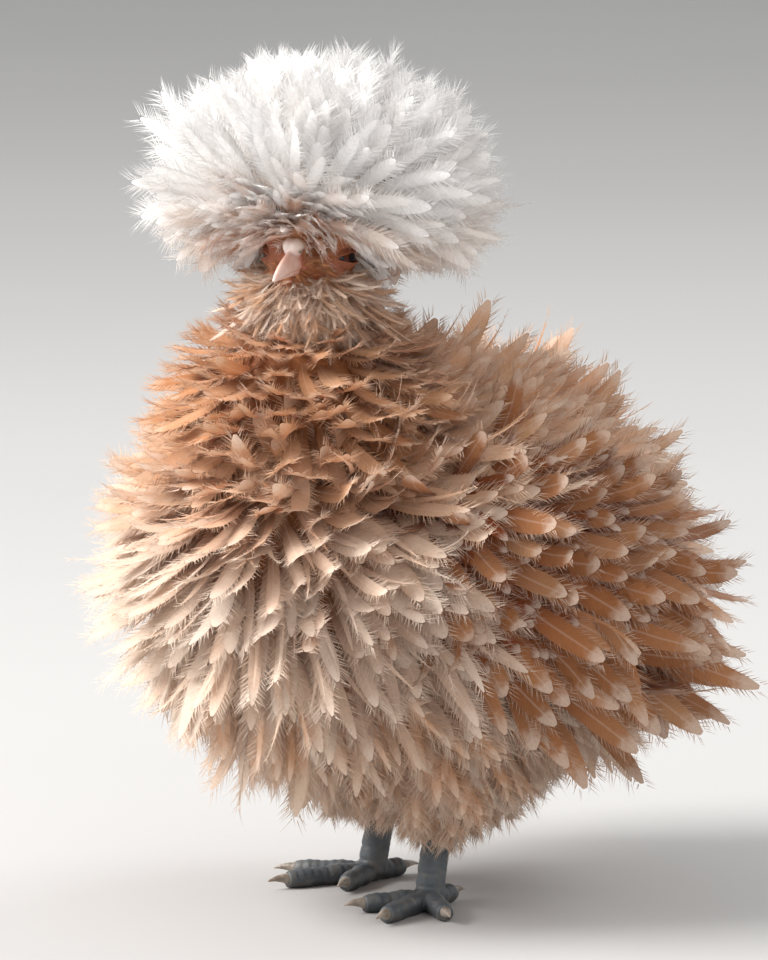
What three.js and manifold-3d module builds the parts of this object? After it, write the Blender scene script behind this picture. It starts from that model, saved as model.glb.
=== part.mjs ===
// A frizzle chicken of the crested, bearded kind: a bantam pullet that stands with its head turned.
// Millimetres, +Z up. The bird faces -Y and its left side is +X. The soles are at Z 0.
import * as THREE from "three";
import { mergeVertices } from "three/addons/utils/BufferGeometryUtils.js";
import Module from "manifold-3d";

const wasm = await Module();
wasm.setup();

const UP = new THREE.Vector3(0, 0, 1);
const LEFT = new THREE.Vector3(1, 0, 0);
const AHEAD = new THREE.Vector3(0, -1, 0);
const point = (x, y, z) => new THREE.Vector3(x, y, z);
const unit = (x, y, z) => point(x, y, z).normalize();
const degrees = THREE.MathUtils.degToRad;
const { lerp, clamp } = THREE.MathUtils;

// Driving sizes
const GAP = 0.3; // between neighbouring pieces
const SEED = 7;
const ROOT_DEPTH = 4; // how far a feather's root is sunk in its core
const VANE = { thick: 0.9, rise: degrees(30), curl: degrees(104) };

// Cores that carry the feathers are eggs: an axis towards the head end, a back and a side.
// long, high and wide are half sizes, and full makes the head end the fatter one. The coat flows
// from a pole that lies by the angle tilt from the head end towards the back.
function egg(centre, axis, sizes, full = 0, back = UP) {
  const side = new THREE.Vector3().crossVectors(back, axis).normalize();
  const dorsal = new THREE.Vector3().crossVectors(axis, side).normalize();
  return { centre, axis, side, dorsal, tilt: 0, ...sizes, full };
}
const TORSO = egg(point(0, 2, 92), unit(0, -0.985, 0.17), { long: 66, high: 46, wide: 46, tilt: degrees(36) }, 0.05);
const NECK = egg(point(4, -36, 141), unit(0.08, -0.2, 1), { long: 22, high: 24, wide: 24 }, -0.12, AHEAD);
const CREST = egg(point(7.5, -34, 200), unit(0, -0.1, 1), { long: 21, high: 32, wide: 33 }, 0, AHEAD);
const TAIL = egg(point(0, 67, 76), unit(0, -0.94, 0.34), { long: 19, high: 14, wide: 21 });
const BEARD = egg(point(13, -45, 164), unit(0.3, -0.75, 0.4), { long: 7, high: 6, wide: 9 });
const wingEgg = (s) =>
  egg(point(s * 45, 10, 93), unit(-s * 0.1, -0.95, 0.3), { long: 44, high: 27, wide: 12 }, 0.08);
const thighEgg = (s) =>
  egg(point(s * 20, 8 - s * 6, 49), unit(0, 0.12, 1), { long: 26, high: 23, wide: 18 }, 0.1, AHEAD);

// Head: its own frame, turned to the bird's left and raised a little
const HEAD = { centre: point(9, -37, 177), yaw: degrees(24), dip: degrees(-3), long: 16, wide: 12, high: 13 };
const EYE = { radius: 4.6, ahead: 3.5, aside: 8.1, above: 1.5 };
const LID = { thick: 1, openAlong: 4.4, openUp: 2.8 };
const BILL = { from: 10, long: 19, wide: 4.6, high: 5.6, level: -0.5, hook: 4, lower: 0.84 };
const NOSTRIL = { along: 0.24, aside: 3.1, above: 5.2, knob: 2.3 };

// Legs
const LEG = { shank: 3.9, hock: 34, toe: 2.9, toeHeight: 2.3, scutes: 3 };
const FEET = {
  right: { at: point(-23, 16, 0), heading: -14 },
  left: { at: point(16, -1, 0), heading: 17 },
};
// angle outwards from straight ahead, length without the claw
const TOES = {
  inner: { angle: -38, long: 19 },
  middle: { angle: 2, long: 26 },
  outer: { angle: 40, long: 21 },
  hind: { angle: 172, long: 11 },
};
const CLAW = { long: 7, radius: 1.7 };

// Repeatable draws between -1 and 1
let drawn = SEED;
function draw() {
  drawn = (Math.imul(drawn, 1664525) + 1013904223) >>> 0;
  return drawn / 2 ** 31 - 1;
}

// Closed meshes to solids and back
function solid(geometry) {
  const bare = geometry.clone();
  bare.deleteAttribute("normal");
  bare.deleteAttribute("uv");
  const merged = mergeVertices(bare, 1e-4);
  return new wasm.Manifold(
    new wasm.Mesh({
      numProp: 3,
      vertProperties: merged.attributes.position.array,
      triVerts: new Uint32Array(merged.index.array),
    }),
  );
}

function geometryOf(made) {
  const mesh = made.getMesh();
  const geometry = new THREE.BufferGeometry();
  geometry.setAttribute("position", new THREE.BufferAttribute(new Float32Array(mesh.vertProperties), 3));
  geometry.setIndex(new THREE.BufferAttribute(new Uint32Array(mesh.triVerts), 1));
  return geometry;
}

const union = (pieces) => wasm.Manifold.union(pieces);
const largest = (made) =>
  made.decompose().reduce((best, piece) => (piece.volume() > best.volume() ? piece : best));

function solidOf(spots, faces) {
  const geometry = new THREE.BufferGeometry();
  geometry.setAttribute("position", new THREE.Float32BufferAttribute(spots, 3));
  geometry.setIndex(faces);
  return solid(geometry);
}

// A closed skin over rings of points, capped with fans
function loft(rings) {
  const sides = rings[0].length;
  const spots = rings.flat().flatMap((p) => [p.x, p.y, p.z]);
  const faces = [];
  for (let i = 0; i < rings.length - 1; i++) {
    for (let k = 0; k < sides; k++) {
      const [a, b] = [i * sides + k, i * sides + ((k + 1) % sides)];
      faces.push(a, b, a + sides, b, b + sides, a + sides);
    }
  }
  const last = (rings.length - 1) * sides;
  for (let k = 1; k < sides - 1; k++) {
    faces.push(0, k + 1, k);
    faces.push(last, last + k, last + k + 1);
  }
  const made = solidOf(spots, faces);
  return made.volume() > 0 ? made : solidOf(spots, faces.reverse());
}

// A tube of changing thickness through a list of [point, radius]
function limb(stations, sides = 8, margin = 0) {
  const curve = new THREE.CatmullRomCurve3(stations.map(([at]) => at));
  const whole = stations.at(-1)[0].clone().sub(stations[0][0]).normalize();
  const beside = Math.abs(whole.z) > 0.8 ? LEFT : UP;
  const rings = stations.map(([at, radius], i) => {
    const along = curve.getTangent(i / (stations.length - 1));
    const across = new THREE.Vector3().crossVectors(beside, along).normalize();
    const other = new THREE.Vector3().crossVectors(along, across).normalize();
    const end = i === 0 ? -margin : i === stations.length - 1 ? margin : 0;
    return Array.from({ length: sides }, (_, k) => {
      const turn = ((k + 0.5) / sides) * 2 * Math.PI;
      return at
        .clone()
        .addScaledVector(along, end)
        .addScaledVector(across, (radius + margin) * Math.cos(turn))
        .addScaledVector(other, (radius + margin) * Math.sin(turn));
    });
  });
  return loft(rings);
}

// A point of an egg's skin for a direction given along its side, axis and back
function eggPoint(e, aside, ahead, above, margin = 0) {
  const full = 1 + e.full * ahead;
  return e.centre
    .clone()
    .addScaledVector(e.side, aside * (e.wide * full + margin))
    .addScaledVector(e.axis, ahead * (e.long + margin))
    .addScaledVector(e.dorsal, above * (e.high * full + margin));
}

function eggSolid(e, margin = 0) {
  const size = Math.max(e.long, e.wide);
  const round = size > 50 ? 20 : size > 30 ? 16 : 12;
  const tall = Math.round(round * 0.6);
  const sphere = new THREE.SphereGeometry(1, round, tall);
  const spots = sphere.getAttribute("position");
  for (let i = 0; i < spots.count; i++) {
    const at = eggPoint(e, spots.getX(i), -spots.getY(i), spots.getZ(i), margin);
    spots.setXYZ(i, at.x, at.y, at.z);
  }
  return solid(sphere);
}

// A place on an egg's skin, with the way the coat lies there and the way out.
// polar runs from the head end to the tail end, around from the back over the side.
function skinFrame(e, polar, around) {
  const [rise, run] = [Math.sin(e.tilt), Math.cos(e.tilt)];
  const spot = (p, a) => {
    const [ahead, above] = [Math.cos(p), Math.sin(p) * Math.cos(a)];
    return eggPoint(e, Math.sin(p) * Math.sin(a), ahead * run - above * rise, ahead * rise + above * run);
  };
  const step = 0.01;
  const at = spot(polar, around);
  const lie = spot(polar + step, around).sub(at).normalize();
  const across = spot(polar, around + step).sub(at).normalize();
  const out = new THREE.Vector3().crossVectors(lie, across).normalize();
  if (out.dot(at.clone().sub(e.centre)) < 0) out.negate();
  return { at, lie, out };
}

// A feather: a flat blade that leaves its root at an angle of rise above the lie and turns to an
// angle of curl, so that a frizzled one stands out and bends back. The shares are its outline.
const SPOON = [0.42, 0.74, 1, 0.5];
const FLIGHT = [0.5, 0.95, 1, 0.42];
const LOCK = [0.6, 0.95, 0.75, 0.14];
const LOCK_THICK = 3.4;
function blade({ at, lie, out, long, wide, rise, curl, shares, thick = VANE.thick }, margin = 0, from = 0) {
  const across = new THREE.Vector3().crossVectors(lie, out).normalize();
  const way = (angle) => lie.clone().multiplyScalar(Math.cos(angle)).addScaledVector(out, Math.sin(angle));
  const steps = shares.length - 1;
  const spine = at.clone().addScaledVector(way(rise), -ROOT_DEPTH - margin);
  const spots = [];
  shares.forEach((share, i) => {
    const stride = long / steps + (i === 1 ? ROOT_DEPTH + margin : 0) + (i === steps ? margin : 0);
    if (i) spine.addScaledVector(way(lerp(rise, curl, (i - 0.5) / steps)), stride);
    if (i < from) return;
    const face = way(lerp(rise, curl, i / steps) + Math.PI / 2);
    const half = (share * wide) / 2 + margin;
    const deep = (thick * lerp(1.2, 0.6, i / steps)) / 2 + margin;
    for (const [a, b] of [[-1, -1], [1, -1], [1, 1], [-1, 1]]) {
      const corner = spine.clone().addScaledVector(across, a * half).addScaledVector(face, b * deep);
      spots.push(corner.x, corner.y, corner.z);
    }
  });
  const end = spots.length / 3 - 4;
  const faces = [0, 1, 2, 0, 2, 3, end, end + 2, end + 1, end, end + 3, end + 2];
  for (let a = 0; a < end; a += 4) {
    // the two broad faces are split alike
    faces.push(a, a + 4, a + 1, a + 1, a + 4, a + 5);
    faces.push(a + 1, a + 5, a + 2, a + 2, a + 5, a + 6);
    faces.push(a + 2, a + 6, a + 7, a + 2, a + 7, a + 3);
    faces.push(a + 3, a + 7, a, a, a + 7, a + 4);
  }
  return solidOf(spots, faces);
}

// What later feathers are bent clear of: solids grown by the gap, with the node that each belongs to
const occupied = [];
function occupy(node, made, outer = made) {
  occupied.push({ node, made, outer, box: made.boundingBox() });
}
const apart = (a, b) => [0, 1, 2].some((k) => a.max[k] < b.min[k] || b.max[k] < a.min[k]);

// How much of a feather lies in what is there already. Its own node's count from the first bend on.
function crossing(node, spec) {
  const whole = blade(spec);
  const outer = blade(spec, 0, 1);
  const box = whole.boundingBox();
  let volume = 0;
  for (const other of occupied) {
    if (apart(box, other.box)) continue;
    const own = other.node === node;
    if (own && other.outer === null) continue;
    volume += (own ? outer : whole).intersect(own ? other.outer : other.made).volume();
    if (volume > MOST_CROSSING) return volume;
  }
  return volume;
}
const MOST_CROSSING = 2; // cubic millimetres
// ways to bend a feather clear: a turn to the side, a change of rise and curl, a share of its length
const BENDS = [
  [0, 0, 1], [14, 0, 1], [-14, 0, 1], [0, -12, 1], [0, 12, 1], [26, 0, 1], [-26, 0, 1],
  [18, -12, 1], [-18, -12, 1], [0, 0, 0.8], [16, 0, 0.8], [-16, 0, 0.8], [0, -14, 0.75], [30, 0, 0.7], [-30, 0, 0.7],
];
function settle(node, spec) {
  for (const [turn, lift, share] of BENDS) {
    const bent = {
      ...spec,
      lie: spec.lie.clone().applyAxisAngle(spec.out, degrees(turn)),
      rise: spec.rise + degrees(lift),
      curl: spec.curl + degrees(lift),
      long: spec.long * share,
    };
    if (crossing(node, bent) > MOST_CROSSING) continue;
    occupy(node, blade(bent, GAP), blade(bent, GAP, 1));
    return bent;
  }
  return null;
}

// Rows of feathers round an egg, each row given by its polar angle and its count.
// feather(place) gives one feather's sizes, or null where none grows.
function coat(node, e, rows, feather) {
  const found = [];
  rows.forEach(([polar, count], row) => {
    for (let i = 0; i < count; i++) {
      const around = ((i + (row % 2) / 2 + 0.1 * draw()) / count) * 2 * Math.PI;
      const tilt = degrees(polar) + 0.03 * draw();
      const place = { ...skinFrame(e, tilt, around), polar: tilt, around, row };
      const made = feather(place);
      const vary = 1 + 0.07 * draw();
      const bent = made && settle(node, { ...place, ...made, long: made.long * vary });
      if (bent) found.push(bent);
    }
  });
  return found;
}

// Everything made so far, each with a copy grown by the gap that later pieces are cut clear of
const part = new THREE.Group();
const grown = new Map();
function add(name, material, make, near = []) {
  let made = make(0);
  for (const other of near) made = made.subtract(grown.get(other));
  grown.set(name, make(GAP));
  const mesh = new THREE.Mesh(geometryOf(largest(made)), material);
  mesh.name = name;
  part.add(mesh);
}
const feathered = (e, blades) => (margin) =>
  union([eggSolid(e, margin), ...blades.map((b) => blade(b, margin))]);

const material = (color, roughness) => new THREE.MeshStandardMaterial({ color, roughness, metalness: 0 });
const WHITE = material(0xf1ebe4, 0.85);
const BUFF = material(0xd9a883, 0.85);
const PALE = material(0xe6cdb9, 0.85);
const SKIN = material(0xb07a62, 0.7);
const HORN = material(0xd9a294, 0.4);
const SLATE = material(0x5a5e60, 0.55);
const CLAW_HORN = material(0x8a8378, 0.45);
const EYE_DARK = material(0x1c120e, 0.1);

// Head
const headTurn = new THREE.Matrix4()
  .makeRotationZ(HEAD.yaw)
  .multiply(new THREE.Matrix4().makeRotationX(HEAD.dip));
// A point of the head: to its left, ahead of its middle and above it
const onHead = (left, ahead, above) => point(left, -ahead, above).applyMatrix4(headTurn).add(HEAD.centre);
function headBall([left, ahead, above], [wide, long, high], margin = 0, round = 16, tall = 10) {
  const ball = new THREE.SphereGeometry(1, round, tall);
  ball.scale(wide + margin, long + margin, high + margin);
  ball.applyMatrix4(headTurn);
  const at = onHead(left, ahead, above);
  ball.translate(at.x, at.y, at.z);
  return solid(ball);
}

const eyeAt = (s) => [s * EYE.aside, EYE.ahead, EYE.above];
const eye = (s, margin) => headBall(eyeAt(s), [EYE.radius, EYE.radius, EYE.radius], margin, 10, 7);

// The skull with a lid round each eye, open in an almond that is longer than it is high
function head(margin) {
  const lids = [1, -1].map((s) => {
    const size = EYE.radius + LID.thick;
    return headBall(eyeAt(s), [size, size, size], margin, 10, 6);
  });
  const openings = [1, -1].map((s) => {
    const [left, ahead, above] = eyeAt(s);
    const at = [left + s * EYE.radius, ahead, above];
    return headBall(at, [EYE.radius, LID.openAlong, LID.openUp], -margin, 8, 6);
  });
  const skull = headBall([0, 0, 0], [HEAD.wide, HEAD.long, HEAD.high], margin, 12, 8);
  return union([skull, ...lids]).subtract(union(openings));
}

// Half a bill: sections from the face to the point, the upper one arched and hooked
function billHalf(upper, margin) {
  const steps = [0, 0.25, 0.5, 0.75, 0.93];
  const sides = 10;
  const rim = upper ? 0.35 : -0.35;
  const rings = steps.map((t) => {
    const wide = BILL.wide * (1 - t) ** 0.6 + margin;
    const high = (upper ? BILL.high * (1 - t) ** 0.55 : 2.6 * (1 - t) ** 0.7) + margin;
    const along = (upper ? 1 : BILL.lower) * t;
    const hook = -BILL.hook * along * along;
    const ahead = BILL.from + BILL.long * along;
    return Array.from({ length: sides }, (_, i) => {
      const turn = (i / sides) * 2 * Math.PI;
      const swell = high * Math.sin(turn);
      const above = upper ? Math.max(swell, -0.25 - margin) : Math.min(swell, 0.05 + margin);
      return onHead(wide * Math.cos(turn), ahead, BILL.level + rim + hook + above);
    });
  });
  return loft(rings);
}

// The upper bill carries the raised, arched nostrils of the crested breeds
function billUpper(margin) {
  const ahead = BILL.from + BILL.long * NOSTRIL.along;
  const knobs = [1, -1].map((s) =>
    headBall([s * 1.6, ahead, BILL.level + NOSTRIL.above], [2.1, 3.6, NOSTRIL.knob], margin, 8, 5),
  );
  const slits = [1, -1].map((s) => {
    const at = [s * (NOSTRIL.aside + 0.6), ahead + 0.6, BILL.level + NOSTRIL.above - 0.2];
    return headBall(at, [1, 1.5, 0.6], -margin / 2, 8, 4);
  });
  return union([billHalf(true, margin), ...knobs]).subtract(union(slits));
}

// Legs
const sideOf = { left: 1, right: -1 };
function toeWay(side, toe) {
  const turn = degrees(FEET[side].heading + sideOf[side] * TOES[toe].angle);
  return point(Math.sin(turn), -Math.cos(turn), 0);
}

// Toes swell at each joint
function toeLimb(side, toe, margin) {
  const from = FEET[side].at.clone().setZ(LEG.toeHeight);
  const way = toeWay(side, toe);
  const shares = [1.15, 0.94, 1.06, 0.84];
  const stations = shares.map((share, i) => [
    from.clone().addScaledVector(way, (i / (shares.length - 1)) * TOES[toe].long),
    LEG.toe * share,
  ]);
  return limb(stations, 8, margin);
}

// A shank with a ridge at the edge of each broad scute down its front
function leg(side, margin) {
  const { at } = FEET[side];
  const s = sideOf[side];
  const hock = at.clone().add(point(-s, 11, LEG.hock));
  const steps = LEG.scutes * 2;
  const stations = Array.from({ length: steps + 1 }, (_, i) => {
    const t = lerp(0.08, 1, i / steps);
    const swell = 1 + 0.22 * (t - 0.45) ** 2 + (i % 2 ? 0.05 : -0.03);
    return [at.clone().lerp(hock, t).add(point(0, -2 * Math.sin(Math.PI * t), 0)), LEG.shank * swell];
  });
  const toes = Object.keys(TOES).map((toe) => toeLimb(side, toe, margin));
  return union([limb(stations, 8, margin), ...toes]).trimByPlane([0, 0, 1], 0);
}

function claw(side, toe, margin) {
  const way = toeWay(side, toe);
  const from = FEET[side].at.clone().addScaledVector(way, TOES[toe].long - 1).setZ(LEG.toeHeight + 0.3);
  const stations = [0, 0.5, 1].map((t) => [
    from.clone().addScaledVector(way, t * CLAW.long).add(point(0, 0, 0.9 * Math.sin(2.2 * t) - 0.9 * t)),
    Math.max(0.3, CLAW.radius * (1 - 0.85 * t)),
  ]);
  return limb(stations, 5, margin);
}

// Plumage, node by node
const frizzle = (long, wide) => ({ long, wide, rise: VANE.rise, curl: VANE.curl, shares: SPOON });
const faces = point(Math.sin(HEAD.yaw), -Math.cos(HEAD.yaw), 0);

// The crest is a globe of pointed locks that hangs lower behind than over the face
const crestCoat = () =>
  coat("crest", CREST, [[3, 1], [25, 6], [45, 9], [65, 11], [85, 12], [104, 12]], ({ at, polar }) => {
    const ahead = at.clone().sub(CREST.centre).setZ(0).normalize().dot(faces);
    const lock = { wide: 13, shares: LOCK, thick: LOCK_THICK };
    if (polar > degrees(96) && ahead > 0.6) return { ...lock, long: 8, rise: degrees(40), curl: degrees(24) };
    const droop = clamp((polar - degrees(60)) / degrees(60), 0, 1);
    return { ...lock, long: lerp(15, 26, droop), rise: degrees(60), curl: degrees(lerp(86, 50, droop)) };
  });

const beardCoat = () =>
  coat("beard", BEARD, [[56, 5], [92, 8]], ({ out }) =>
    out.z > 0.5 ? null : { long: 9, wide: 5, rise: degrees(34), curl: degrees(50), shares: LOCK, thick: 1.6 },
  );

const neckCoat = () =>
  coat("neck", NECK, [[42, 5], [66, 8], [94, 11], [122, 9]], ({ row }) => ({
    ...frizzle(row ? 29 : 20, 16),
    rise: degrees(44),
  }));

// Coverts in rows with longer, straighter flight feathers behind and below
const wingCoat = (side, s) =>
  coat(`wing_${side}`, wingEgg(s), [[32, 7], [58, 10], [84, 12], [110, 11], [134, 8]], ({ around, row }) => {
    if (s * Math.sin(around) < 0.1) return null;
    const low = Math.cos(around) < 0.1 && row > 1;
    return low
      ? { long: 34, wide: 16, rise: degrees(20), curl: degrees(56), shares: FLIGHT }
      : frizzle(26, 18);
  });

const tailCoat = () =>
  coat("tail", TAIL, [[90, 7], [135, 6]], () => ({
    long: 40, wide: 17, rise: degrees(12), curl: degrees(48), shares: FLIGHT,
  }));

const thighCoat = (side, s) =>
  coat(`thigh_${side}`, thighEgg(s), [[76, 7], [102, 8], [128, 6]], ({ around }) => {
    const inner = s * Math.sin(around) > 0.4;
    return inner ? null : { long: 16, wide: 14, rise: degrees(26), curl: degrees(46), shares: LOCK, thick: 2 };
  });

// The torso's vanes hang closer below and stand longer and straighter over the saddle
const TORSO_ROWS = [[34, 5], [53, 11], [73, 13], [93, 14], [113, 13], [134, 9], [156, 5]];
const torsoCoat = () =>
  coat("torso", TORSO, TORSO_ROWS, ({ at, out }) => {
    const under = clamp(-out.z * 1.6, 0, 1) * clamp((36 - at.y) / 30, 0, 1);
    const saddle = clamp(out.z, 0, 1) * clamp((at.y - 10) / 30, 0, 1);
    return {
      ...frizzle(lerp(36, 30, clamp(out.z + 0.5, 0, 1)) + 9 * saddle, 20),
      rise: degrees(30 - 12 * under + 18 * saddle),
      curl: degrees(104 - 52 * under - 24 * saddle),
    };
  });

const HEAD_PIECES = ["eye_left", "eye_right", "bill_upper", "bill_lower", "head"];
for (const [side, s] of Object.entries(sideOf)) add(`eye_${side}`, EYE_DARK, (m) => eye(s, m));
add("bill_upper", HORN, billUpper);
add("bill_lower", HORN, (m) => billHalf(false, m));
add("head", SKIN, head, HEAD_PIECES.slice(0, 4));
for (const side of ["left", "right"]) {
  for (const toe of Object.keys(TOES)) add(`claw_${side}_${toe}`, CLAW_HORN, (m) => claw(side, toe, m));
}
for (const side of ["left", "right"]) {
  const claws = Object.keys(TOES).map((toe) => `claw_${side}_${toe}`);
  add(`leg_${side}`, SLATE, (m) => leg(side, m), claws);
}
for (const [node, made] of grown) occupy(node, made);

// Feathered nodes in the order in which each is cut clear of the ones before
const COATS = {
  crest: { e: CREST, hue: WHITE, grow: crestCoat },
  beard: { e: BEARD, hue: WHITE, grow: beardCoat },
  neck: { e: NECK, hue: BUFF, grow: neckCoat },
  wing_left: { e: wingEgg(1), hue: BUFF, grow: () => wingCoat("left", 1) },
  wing_right: { e: wingEgg(-1), hue: BUFF, grow: () => wingCoat("right", -1) },
  tail: { e: TAIL, hue: PALE, grow: tailCoat },
  thigh_left: { e: thighEgg(1), hue: PALE, grow: () => thighCoat("left", 1) },
  thigh_right: { e: thighEgg(-1), hue: PALE, grow: () => thighCoat("right", -1) },
  torso: { e: TORSO, hue: BUFF, grow: torsoCoat },
};
for (const [node, { e }] of Object.entries(COATS)) occupy(node, eggSolid(e, GAP), null);
for (const [node, { e, hue, grow }] of Object.entries(COATS)) {
  add(node, hue, feathered(e, grow()), [...grown.keys()]);
}

// The origin is under the middle of the bounding box, at the soles
const box = new THREE.Box3().setFromObject(part);
const middle = box.getCenter(new THREE.Vector3());
part.position.set(-middle.x, -middle.y, -box.min.z);

export default part;
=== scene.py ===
# A frizzle chicken of the crested, bearded kind, dressed in feathers over one skin.
# Sizes are in millimetres until a mesh is made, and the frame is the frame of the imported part.
import copy
import math

import bpy
import numpy as np
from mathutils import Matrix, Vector


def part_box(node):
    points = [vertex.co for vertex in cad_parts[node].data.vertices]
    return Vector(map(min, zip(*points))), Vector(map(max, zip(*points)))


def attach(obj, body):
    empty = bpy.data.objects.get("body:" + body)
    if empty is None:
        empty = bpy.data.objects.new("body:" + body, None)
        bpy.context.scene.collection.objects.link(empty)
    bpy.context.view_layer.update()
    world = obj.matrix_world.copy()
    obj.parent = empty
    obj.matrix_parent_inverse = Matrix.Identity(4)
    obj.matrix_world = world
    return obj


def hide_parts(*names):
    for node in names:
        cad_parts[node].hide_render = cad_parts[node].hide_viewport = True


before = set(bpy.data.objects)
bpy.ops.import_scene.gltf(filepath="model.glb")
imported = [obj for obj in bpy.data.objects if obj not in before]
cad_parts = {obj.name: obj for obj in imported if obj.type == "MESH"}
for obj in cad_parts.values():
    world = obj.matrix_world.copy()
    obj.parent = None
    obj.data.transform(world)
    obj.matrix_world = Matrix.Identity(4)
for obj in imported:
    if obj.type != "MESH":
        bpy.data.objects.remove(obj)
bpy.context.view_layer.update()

MM = 0.001
UP = np.array([0.0, 0.0, 1.0])
AHEAD = np.array([0.0, -1.0, 0.0])
SIDES = (1, -1)
SIDE_NAME = {1: "left", -1: "right"}
rng = np.random.default_rng(7)

# Head: its own frame, turned to the bird's left and raised a little
HEAD_AT = np.array([9.0, -37.0, 177.0])
HEAD_YAW, HEAD_DIP = math.radians(24), math.radians(-3)
SKULL_LONG, SKULL_HIGH, SKULL_WIDE = 16.0, 13.0, 12.0
EYE_RADIUS, EYE_AHEAD, EYE_ASIDE, EYE_ABOVE = 4.6, 3.5, 8.1, 1.5
EYE_AIM = (-0.16, 0.06)  # how far the eyes look ahead and upward
LID_OPEN_LONG, LID_OPEN_HIGH, LID_LONG, LID_HIGH = 4.0, 1.35, 4.2, 4.0
LID_SIDES, LID_STEPS = 64, 15
BILL_FROM, BILL_LONG, BILL_WIDE, BILL_HIGH, BILL_LEVEL = 10.0, 19.0, 4.6, 5.6, -0.5
BILL_HOOK, BILL_LOWER, BILL_LOWER_HIGH, MOUTH_GAP = 4.0, 0.84, 2.6, 0.3
KNOB_AHEAD, KNOB_ASIDE, KNOB_ABOVE = BILL_FROM + 0.24 * BILL_LONG, 0.9, 5.2
KNOB_SIZES = (3.4, 2.5, 1.9)

# Places of the head that no feather covers: left, ahead and above, and a radius
KNOB_SPOT = (0.0, 14.6, 5.0)
BARE_SPOTS = ((KNOB_SPOT, 2.6), ((0.0, 19.0, 1.5), 2.6), ((0.0, 26.0, -2.5), 2.0))
BARE_EYE_ASIDE, BARE_EYE_RADIUS = 3.0, 2.4
BARE_MOUTH_RADIUS, BARE_DEEP = 5.2, 45.0

# Camera
CAMERA_AZIMUTH, CAMERA_RISE = math.radians(45), math.radians(8)
CAMERA_AWAY = 2200.0
PIXELS_PER_MM = 3.7
IMAGE_WIDE, IMAGE_HIGH = 768, 960
FEET_PIXEL = (389, 899)  # where the middle of the feet shows
SENSOR_WIDE = 36
TOWARD = np.array([
    math.sin(CAMERA_AZIMUTH) * math.cos(CAMERA_RISE),
    -math.cos(CAMERA_AZIMUTH) * math.cos(CAMERA_RISE),
    math.sin(CAMERA_RISE),
])

# Legs: each foot's place and heading, each toe's angle and length
SHANK, HOCK, HOCK_BACK, TOE, TOE_HEIGHT = 3.9, 34.0, 11.0, 2.9, 2.3
FEET = {1: (np.array([16.0, -1.0, 0.0]), 17.0), -1: (np.array([-23.0, 16.0, 0.0]), -14.0)}
TOES = {"inner": (-38, 19.0), "middle": (2, 26.0), "outer": (40, 21.0), "hind": (172, 11.0)}
TOE_SWELLS = (1.12, 0.93, 1.04, 0.9, 0.96, 0.8)
SHANK_SCUTES, SCUTE_LONG = 9, 2.4
CLAW_LONG, CLAW_RADIUS = 7.0, 1.7

# Feathers: the spacing of the roots, the length and the width on each part
CREST_ROOTS, CREST_LONG, CREST_WIDE, CREST_FOOT = 3.4, 23.5, 11.5, 176
BROW_ROOTS, BROW_LONG, BROW_WIDE = 2.0, 5, 3.2
BEARD_ROOTS, BEARD_LONG, BEARD_WIDE = 1.35, 6.5, 2.6
FACE_ROOTS, FACE_LONG, FACE_WIDE = 1.4, 3.2, 1.5
NECK_ROOTS, NECK_LONG, NECK_WIDE = 4.2, 15, 7
BODY_ROOTS, BODY_LONG, BODY_WIDE = 4.6, 31, 12.5
STRAND_WIDE, STRAND_SHARE, BELLY_WIDE = 4.6, 0.6, 10
UNDERWING_ROOTS, UNDERWING_LONG, UNDERWING_WIDE = 4.4, 17, 8.5
WING_ROOTS, COVERT_LONG, FLIGHT_LONG, WING_WIDE = 6.6, 25, 30, 11.0
TAIL_ROOTS, TAIL_LONG, TAIL_WIDE = 5.0, 35, 12.5
THIGH_ROOTS, THIGH_LONG, THIGH_WIDE = 3.8, 18, 8.5

# What all feathers share
ROOT = 2.0  # how far a shaft starts under the skin
PATCH = 0.003  # the size of a feather's patch on the unwrap
SOFTEN = 0.3  # how far the shading of a feather leans towards that of the coat
STATIONS = (0, 0.2, 0.45, 0.68, 0.84, 0.93, 0.98, 1)  # along a vane, closest at its round tip
RIM = 0.18  # thickness of a vane along its shaft
VANE_END = 0.93  # where the whole part of a vane ends, short of the tips of its barbs
# the root tint is partly painted shade of the crevices between overlapping feathers
LACE, ROOT_SHADE_TINT, STREAK_TINT, SHAFT_TINT = 0.6, 0.85, 0.16, 0.18  # shares of the tints of a vane

# Lamps: place in metres, power, size and colour
LAMPS = {
    "key": ((-0.85, -1.3, 1.35), 66, 1.1, (1.0, 0.985, 0.97)),
    "fill": ((1.4, -0.7, 0.7), 5, 1.2, (1.0, 0.97, 0.95)),
    "back": ((0.2, 1.4, 1.2), 14, 0.9, (1, 1, 1)),
}
LAMP_TARGET = (0, 0, 0.12)
SKY, SKY_STRENGTH = (0.97, 0.985, 1.0, 1), 0.58
FLOOR_DIM, FLOOR_BRIGHT, FLOOR_REACH = (0.5, 0.49, 0.48, 1), (0.54, 0.53, 0.52, 1), 3.0


def srgb(r, g, b):
    c = np.array([r, g, b]) / 255
    return np.where(c < 0.04045, c / 12.92, ((c + 0.055) / 1.055) ** 2.4)


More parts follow.
